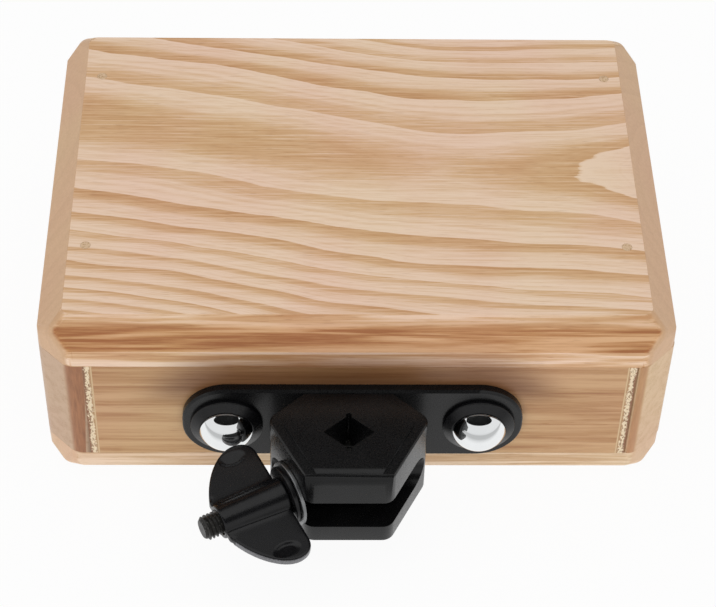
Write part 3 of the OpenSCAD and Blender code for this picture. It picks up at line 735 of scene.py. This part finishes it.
def free_edge(edge):
    """Outward edges that don't lie wholly on the wood."""
    return edge.is_convex and any(v.co.y < strap_back - 0.1 for v in edge.verts)


moulding = solid_copy("clamp_bracket")
bmesh.ops.recalc_face_normals(moulding, faces=moulding.faces)
ease(moulding, [e for e in sharp_edges(moulding, STEEP_EDGE) if free_edge(e)], BLUNT, 3)
ease(moulding, [e for e in sharp_edges(moulding, LOW_EDGE) if free_edge(e)], SOFT, 2)
piece("bracket_moulded", moulding, nylon, "block", "clamp_bracket", smooth=40)

# %% [markdown]
# ## Bolts and ring washers
# Each bolt has a chromed head like a slice of a ball on a short upright rim. Under it lies a black
# ring with a sloping upper face. Both are turned shapes, so an outline is drawn once and spun round
# the bolt's own axis.

# %% Measure the bolts
bolts_low, bolts_high = [Vector(c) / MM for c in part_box("bracket_bolts")]
rings_low, rings_high = [Vector(c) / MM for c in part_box("ring_washers")]
head_r = (bolts_high.z - bolts_low.z) / 2
ring_r = (rings_high.z - rings_low.z) / 2
bolt_z = (bolts_high.z + bolts_low.z) / 2
strap_front = rings_high.y
seat = strap_front - rings_low.y
crown = strap_front - bolts_low.y
bolt_stands = [standing(Vector((x, strap_front, bolt_z)), Vector((0, -1, 0)), Vector((1, 0, 0)))
               for x in (bolts_low.x + head_r, bolts_high.x - head_r)]
print("heads are", round(2 * head_r, 1), "mm across and", round(crown - seat, 1), "mm high")

# %% Turn the heads and the rings
RIM, UNDERCUT, SHANK_R, TIP = 0.8, 0.25, 3.0, 0.75
RING_BORE, RING_FOOT, RING_GAP = SHANK_R + 1.5, 1.2, 0.25
ball_r = (head_r ** 2 + (crown - seat - RIM) ** 2) / (2 * (crown - seat - RIM))
cap = [(ball_r * math.sin(a), crown - ball_r + ball_r * math.cos(a))
       for a in (math.asin(head_r / ball_r) * i / 24 for i in range(25))]
shank_end = strap_front - bolts_high.y
head = cap + [(head_r, seat + UNDERCUT), (head_r - UNDERCUT, seat), (SHANK_R, seat),
              (SHANK_R, shank_end + TIP), (SHANK_R - TIP, shank_end), (0, shank_end)]
ring = rounded([(RING_BORE, 0, 0), (ring_r, 0, 0.15), (ring_r, RING_FOOT, 0.5),
                (head_r + RING_GAP, seat, 0.35), (RING_BORE, seat, 0)])
heads, rings = bmesh.new(), bmesh.new()
for stand in bolt_stands:
    spun(heads, head, stand, 128)
    spun(rings, ring, stand, 128)
piece("bolts_turned", heads, chrome, "block", "bracket_bolts", smooth=30, weighted=False)
piece("ring_washers_moulded", rings, ring_nylon, "block", "ring_washers", smooth=50)

# %% [markdown]
# ## The eye bolt
# The rod passes through the eye, and the nut pulls on the stem. The stem's thread is a real spiral,
# 1.25 mm from crest to crest, because a bump would leave its outline smooth: one tooth is drawn and
# swept round the axis while it climbs. A flat cut ends it, and the last crests are turned down to a
# bevel.

# %% Place the eye bolt
nut_joint = next(j for j in frame["joints"] if j["name"] == "nut_turn")
rod_eye = next(m for m in frame["record"]["mounts"] if m["name"] == "rod_eye")
eye_centre = Vector(rod_eye["pos_m"]) / MM
stem_axis = Vector(nut_joint["axis"])
down = Vector((0, 0, -1))
on_stem = standing(eye_centre, stem_axis, down)
on_eye = standing(eye_centre, Vector((0, 0, 1)), Vector((1, 0, 0)))
on_hub = standing(Vector(nut_joint["pos_m"]) / MM, stem_axis, down)
stem_tip = extent("eyebolt", on_stem)[3]
ring_half = (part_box("eyebolt")[1].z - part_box("eyebolt")[0].z) / MM / 2
eye_bore, eye_out = rod_eye["dims"]["r_mm"], 10.0
print("the stem ends", round(stem_tip, 2), "mm from the middle of the eye")

# %% The eye and its plain shank
PITCH, CREST, ROOT, TURN_STEPS = 1.25, 3.98, 3.3, 40
IN_RING, THREAD_START, IN_THREAD = 2, 21.0, 1
eyebolt = bmesh.new()
spun(eyebolt, rounded([(eye_bore, -ring_half, 0.5), (eye_out, -ring_half, 0.9), (eye_out, ring_half, 0.9),
                       (eye_bore, ring_half, 0.5)]), on_eye)
spun(eyebolt, [(0, eye_bore + IN_RING), (CREST, eye_bore + IN_RING), (CREST, THREAD_START + IN_THREAD),
               (0, THREAD_START + IN_THREAD)], on_stem, 64)
print("the eye's wall is", eye_out - eye_bore, "mm thick")

# %% Sweep the thread and join it to the shank
thread = bmesh.new()
tooth = ((ROOT, 0), (ROOT, 0.16), (CREST, 0.56), (CREST, 0.72), (ROOT, 1.12), (ROOT, PITCH))
verts = [thread.verts.new((r, 0, THREAD_START + z)) for r, z in tooth]
edges = [thread.edges.new(pair) for pair in zip(verts, verts[1:])]
turns = math.ceil((stem_tip - THREAD_START) / PITCH) + 1
bmesh.ops.spin(thread, geom=verts + edges, cent=(0, 0, 0), axis=(0, 0, 1), dvec=(0, 0, PITCH / TURN_STEPS),
               angle=math.tau * turns, steps=TURN_STEPS * turns, use_merge=False)
bmesh.ops.remove_doubles(thread, verts=thread.verts, dist=0.01)
for height, side in ((THREAD_START + PITCH, -1), (stem_tip, 1)):
    whole = thread.verts[:] + thread.edges[:] + thread.faces[:]
    bmesh.ops.bisect_plane(thread, geom=whole, dist=0.0005, plane_co=(0, 0, height), plane_no=(0, 0, side),
                           clear_outer=True)
    open_edges = [e for e in thread.edges if len(e.link_faces) == 1]
    rim = [e for e in open_edges if all(abs(v.co.z - height) < 0.01 for v in e.verts)]
    bmesh.ops.contextual_create(thread, geom=rim)
TURNED_DOWN = 1.1
for vert in thread.verts:
    limit = CREST - max(0, vert.co.z - (stem_tip - TURNED_DOWN))
    if vert.co.xy.length > limit:
        vert.co.xy *= limit / vert.co.xy.length
bmesh.ops.transform(thread, matrix=on_stem, verts=thread.verts)
swept = bpy.data.meshes.new("swept_thread")
thread.to_mesh(swept)
thread.free()
eyebolt.from_mesh(swept)
piece("eyebolt_threaded", eyebolt, black_steel, "eye", "eyebolt", weighted=False)

# %% [markdown]
# ## Washers
# A steel washer lies on the slanting face and shows as a dull rim, with a thick black one over it
# that turns with the nut. Both are turned from the measures of their solids.

# %% Turn the washers
for name, made, material, body, slot, blunt in (
        ("steel_washer", "steel_washer_pressed", dull_zinc, "block", "zinc_plated_steel", 0.25),
        ("black_washer", "black_washer_moulded", ring_nylon, "nut", "black_nylon_washer", 0.35)):
    inner, outer, low, high = extent(name, on_stem)
    washer = bmesh.new()
    spun(washer, rounded([(inner, low, 0.1), (outer, low, blunt), (outer, high, blunt),
                          (inner, high, 0.1)]), on_stem)
    piece(made, washer, material, body, name, smooth=40)

# %% [markdown]
# ## The wing nut
# The nut is cast in one piece, so its wings run into the hub in soft hollows. A bevel can't round
# the edge where two shells only cross, so the hub and the wings are drawn apart, fused to one skin
# of small faces and smoothed where they meet.

# %% Measure the nut
VOXEL = 0.3
FOOT, WALL, WING_ROOT = 0.4, 4.15, 5
BASE_R, END_R, WING_T, ROUND_EDGE = 6.3, 5.4, 2.8, 1.25
_, wing_r, _, hub_l = extent("wing_nut", on_hub)
wing_points = [v.co / MM for v in frame["nodes"]["wing_nut"].data.vertices]
far = max((on_hub.inverted() @ p for p in wing_points), key=lambda q: q.xy.length)
wing_turn = math.atan2(far.y, far.x)
print("wings reach", round(wing_r, 1), "mm from the axis")


# %% Outline and fusing
def wing_outline():
    """The wing's edge as two curves, in shares of the hub's length and of the wing's reach."""
    lower = ((0.02, 0.78), (0.03, 0.92), (0.13, 1), (0.29, 1))
    upper = ((0.29, 1), (0.52, 1), (0.84, 0.72), (0.99, 0.3))
    edge = []
    for curve in (lower, upper):
        knots = [Vector((x * wing_r, max(z * hub_l, FOOT), 0)) for z, x in curve]
        edge += interpolate_bezier(*knots, 16)
    return [Vector((WING_ROOT, FOOT, 0))] + edge + [Vector((WING_ROOT, upper[-1][0] * hub_l, 0))]


def fused(drawn, voxel):
    """One skin round overlapping shells."""
    mesh = bpy.data.meshes.new("shells")
    drawn.to_mesh(mesh)
    drawn.free()
    shells = bpy.data.objects.new("shells", mesh)
    bpy.context.scene.collection.objects.link(shells)
    remesh = shells.modifiers.new("one_skin", "REMESH")
    remesh.mode, remesh.voxel_size = "VOXEL", voxel
    skin = bmesh.new()
    skin.from_object(shells, bpy.context.evaluated_depsgraph_get())
    bpy.data.objects.remove(shells)
    return skin


print("the wing's edge has", len(wing_outline()), "points")

# %% Draw the hub and the wings
casting = bmesh.new()
spun(casting, rounded([(WALL, 0, 0), (BASE_R, 0, 0.4), (END_R, hub_l, 0.5), (WALL, hub_l, 0)]),
     Matrix.Identity(4))
for turn in (0, math.pi):
    before = set(casting.verts)
    flat = [casting.verts.new((p.x, -WING_T / 2, p.y)) for p in wing_outline()]
    face = casting.faces.new(flat)
    grown = bmesh.ops.extrude_face_region(casting, geom=[face])["geom"]
    top = [v for v in grown if isinstance(v, bmesh.types.BMVert)]
    bmesh.ops.translate(casting, vec=(0, WING_T, 0), verts=top)
    fresh = [v for v in casting.verts if v not in before]
    bmesh.ops.rotate(casting, cent=(0, 0, 0), matrix=Matrix.Rotation(turn, 3, "Z"), verts=fresh)
    rims = {e for v in fresh for e in v.link_edges if abs(e.verts[0].co.y - e.verts[1].co.y) < 0.1}
    ease(casting, rims, ROUND_EDGE, 5)
bmesh.ops.recalc_face_normals(casting, faces=casting.faces)
print("hub and wings have", len(casting.faces), "faces")

# %% Fuse and smooth the casting
SMOOTHING = {"factor": 0.5, "use_axis_x": True, "use_axis_y": True, "use_axis_z": True}
FILLET_IN, FILLET_OUT, FILLET_LOW, FILLET_HIGH, FILLET_ROUNDS = 1.6, 2.4, 0.8, 0.6, 24
casting = fused(casting, VOXEL)
bmesh.ops.smooth_vert(casting, verts=casting.verts, **SMOOTHING)
hollow = [v for v in casting.verts if BASE_R - FILLET_IN < v.co.xy.length < BASE_R + FILLET_OUT]
hollow = [v for v in hollow if FILLET_LOW < v.co.z < hub_l - FILLET_HIGH]
for _ in range(FILLET_ROUNDS):
    bmesh.ops.smooth_vert(casting, verts=hollow, **SMOOTHING)

print("the skin has", len(casting.faces), "faces")

# %% [markdown]
# A thumb's dish is a flat oval near the tip of the wing, with its steep side towards the hub. The
# rims of the wings are marked, so that a painted sheen can make the coat paler there.

# %% Press the dishes and mark the rims
DISH_X, DISH_Z, DISH_HIGH, DISH_WIDE, DISH_DEPTH = 0.82 * wing_r, 0.38 * hub_l, 2.9, 4.6, 0.7
for vert in casting.verts:
    place = Vector(((abs(vert.co.x) - DISH_X) / DISH_HIGH, (vert.co.z - DISH_Z) / DISH_WIDE))
    away = place.length
    if away < 1 and abs(vert.co.y) > 0.7 * WING_T / 2:
        slope = max(0, 0.45 - 0.55 * place.x)
        vert.co.y -= math.copysign(DISH_DEPTH * slope * min(1, 3 * (1 - away)), vert.co.y)
casting.normal_update()
# Mark the rims, where the coat is painted paler as a painted sheen
wear_and_rim_sheen = casting.verts.layers.float.new("wear_and_rim_sheen")
for vert in casting.verts:
    edgewise = 1 - abs(vert.normal.y) / 0.75
    vert[wear_and_rim_sheen] = max(0, min(1, edgewise)) if vert.co.xy.length > BASE_R + 3 else 0.0
bmesh.ops.transform(casting, matrix=on_hub @ Matrix.Rotation(wing_turn, 4, "Z"), verts=casting.verts)
piece("wing_nut_cast", casting, coated_zinc, "nut", "wing_nut", smooth=60,
      weighted=False)

# %% [markdown]
# ## Camera
# The photograph was taken from above the clamp side with a long lens, almost square to the block's
# long side. The camera's place, its three angles and its lens were worked out from the block's
# edges, so a render lies on the photograph. A helper builds the turned frame from the three angles.

# %% Place the camera
LENS, SENSOR = 109.197, 36.0
TILT, YAW, ROLL = 47.0245, 2.0511, 1.6621
STAND = Vector((-16.458, -519.023, 564.056)) * MM


def aim(tilt, yaw, roll):
    """A camera turned down by tilt, to the right by yaw and about its own axis by roll, in degrees."""
    tilt, yaw, roll = (math.radians(a) for a in (tilt, yaw, roll))
    ahead = Vector((math.sin(yaw) * math.cos(tilt), math.cos(yaw) * math.cos(tilt), -math.sin(tilt)))
    level = Vector((math.cos(yaw), -math.sin(yaw), 0))
    up = level.cross(ahead)
    right = level * math.cos(roll) + up * math.sin(roll)
    up = up * math.cos(roll) - level * math.sin(roll)
    return Matrix((right, up, -ahead)).transposed()


lens = bpy.data.cameras.new("studio_camera")
lens.lens, lens.sensor_width = LENS, SENSOR
camera = bpy.data.objects.new("studio_camera", lens)
bpy.context.scene.collection.objects.link(camera)
camera.matrix_world = Matrix.Translation(STAND) @ aim(TILT, YAW, ROLL).to_4x4()
bpy.context.scene.camera = camera
print("camera stands", round(STAND.length, 3), "m from the block")

# %% [markdown]
# ## Floor and flags
# The floor is a white sweep that stays white for the camera, while still catching the block's soft
# shadow. A brighter lamp could bleach it too, but it would bleach the wood as well, so the white
# comes from the floor's own material. Black flags keep the room's dark side in the gloss of the
# black parts, and only glossy rays see them.

# %% White paper and black cloth
UNDER_LIGHT = 0.6
FLOOR_REACH = 0.6
CAMERA_WHITE, SHADOW_KEPT = 0.96, 0.05
SHADED = ((0.1, 0.8), (0.47, 0.54), (0.725, 0.56), (0.805, 0.97))


def showing_rays(tree):
    """The kinds of ray, and a one for each ray that shows its surface to the camera."""
    rays = node(tree, "ShaderNodeLightPath", {}, result=None).outputs
    seen = node(tree, MATH, {0: rays["Is Camera Ray"], 1: rays["Is Glossy Ray"]}, operation="MAXIMUM")
    seen = node(tree, MATH, {0: seen, 1: rays["Is Transmission Ray"]}, operation="MAXIMUM")
    return rays, seen


def white_sweep():
    """Matt white paper lit from below: white to the camera, with a share of the shadow left.

    In glossy surfaces it is greyer a hand's breadth in front, where the table is shaded."""
    material, tree = bare_material("white_paper_sweep")
    rays, seen = showing_rays(tree)
    share = node(tree, MATH, {0: seen, 1: 1 - SHADOW_KEPT}, operation="MULTIPLY")
    paper = node(tree, "ShaderNodeBsdfDiffuse", {"Color": colour("#f4f4f4")})
    under = node(tree, "ShaderNodeEmission", {"Color": WHITE, "Strength": UNDER_LIGHT})
    paper = node(tree, "ShaderNodeAddShader", {0: paper, 1: under})
    place = node(tree, "ShaderNodeTexCoord", {}, result="Object")
    ahead = node(tree, SEPARATE, {"Vector": place}, result=1)
    ahead = node(tree, RANGE, {0: ahead, 1: -FLOOR_REACH, 2: 0.0})
    shaded = node(tree, RAMP, {"Fac": ahead}, stops=SHADED)
    level = node(tree, MIX, {0: rays["Is Glossy Ray"], 2: CAMERA_WHITE, 3: shaded})
    glow = node(tree, "ShaderNodeEmission", {"Color": WHITE, "Strength": level})
    mixed = node(tree, "ShaderNodeMixShader", {0: share, 1: paper, 2: glow})
    node(tree, "ShaderNodeOutputMaterial", {"Surface": mixed}, result=None)
    return material


def black_flag():
    """Black cloth, which glossy surfaces see as an even dark grey."""
    material, tree = bare_material("black_flag_cloth")
    dark = node(tree, "ShaderNodeEmission", {"Color": colour("#181818"), "Strength": 1.0})
    node(tree, "ShaderNodeOutputMaterial", {"Surface": dark}, result=None)
    return material


paper, cloth = white_sweep(), black_flag()
print("made", paper.name, "and", cloth.name)


# %% Lay the floor and hang the flags
def panel(name, material, across, deep, centre, turn=(0, 0, 0), disc=False):
    """A flat rectangle or disc of the studio, which isn't part of the object."""
    drawn = bmesh.new()
    if disc:
        bmesh.ops.create_circle(drawn, cap_ends=True, segments=64, radius=0.5)
    else:
        bmesh.ops.create_grid(drawn, x_segments=1, y_segments=1, size=0.5)
    bmesh.ops.scale(drawn, vec=(across, deep, 1), verts=drawn.verts)
    mesh = bpy.data.meshes.new(name)
    drawn.to_mesh(mesh)
    drawn.free()
    made = bpy.data.objects.new(name, mesh)
    mesh.materials.append(material)
    bpy.context.scene.collection.objects.link(made)
    made.location, made.rotation_euler = centre, turn
    print(name, "is", across, "by", deep, "m")
    return made


panel("floor", paper, 12, 12, (0, 0, -0.0002))
flags = (panel("flag_behind", cloth, 7.0, 3.4, (0, 1.6, 2.1), (math.radians(90), 0, 0)),
         panel("flag_ceiling", cloth, 5.0, 2.4, (0, 0.44, 2.2)),
         panel("flag_round_lens", cloth, 2.7, 0.86, (0, -0.82, 0.96), (math.radians(38), 0, 0), disc=True))
for flag in flags:
    flag.visible_camera = False
    flag.visible_diffuse = False
    flag.visible_shadow = False
    flag.visible_transmission = False

# %% [markdown]
# ## Light
# One large softbox above and a little in front gives the even light of a product photograph and
# soft shadows. The world fills them in, at a level where colours render about as they are written,
# and the camera sees it as white.

# %% Hang the softbox and light the room
ROOM_FILL, ROOM_WHITE, GLOSS_DROP = 0.48, 0.985, -0.1


def softbox(name, size, power, place, target):
    lamp = bpy.data.lights.new(name, "AREA")
    lamp.shape, lamp.size, lamp.energy = "SQUARE", size, power
    made = bpy.data.objects.new(name, lamp)
    bpy.context.scene.collection.objects.link(made)
    made.location = place
    made.rotation_euler = (Vector(target) - Vector(place)).to_track_quat("-Z", "Y").to_euler()
    print(name, "gives", power, "W from", size, "m across")
    return made


softbox("softbox_above", 2.8, 26.0, (-0.1, -0.3, 1.9), (0, 0, 0))
world = bpy.data.worlds.new("white_room")
bpy.context.scene.world = world
world.use_nodes = True
room = world.node_tree
room.nodes.clear()
rays, seen = showing_rays(room)
level = node(room, RANGE, {0: seen, 3: ROOM_FILL, 4: ROOM_WHITE})
level = node(room, MATH, {0: rays["Is Glossy Ray"], 1: GLOSS_DROP, 2: level}, operation="MULTIPLY_ADD")
sky = node(room, "ShaderNodeBackground", {"Color": WHITE, "Strength": level})
node(room, "ShaderNodeOutputWorld", {"Surface": sky}, result=None)
bpy.context.scene.view_settings.view_transform = "Standard"
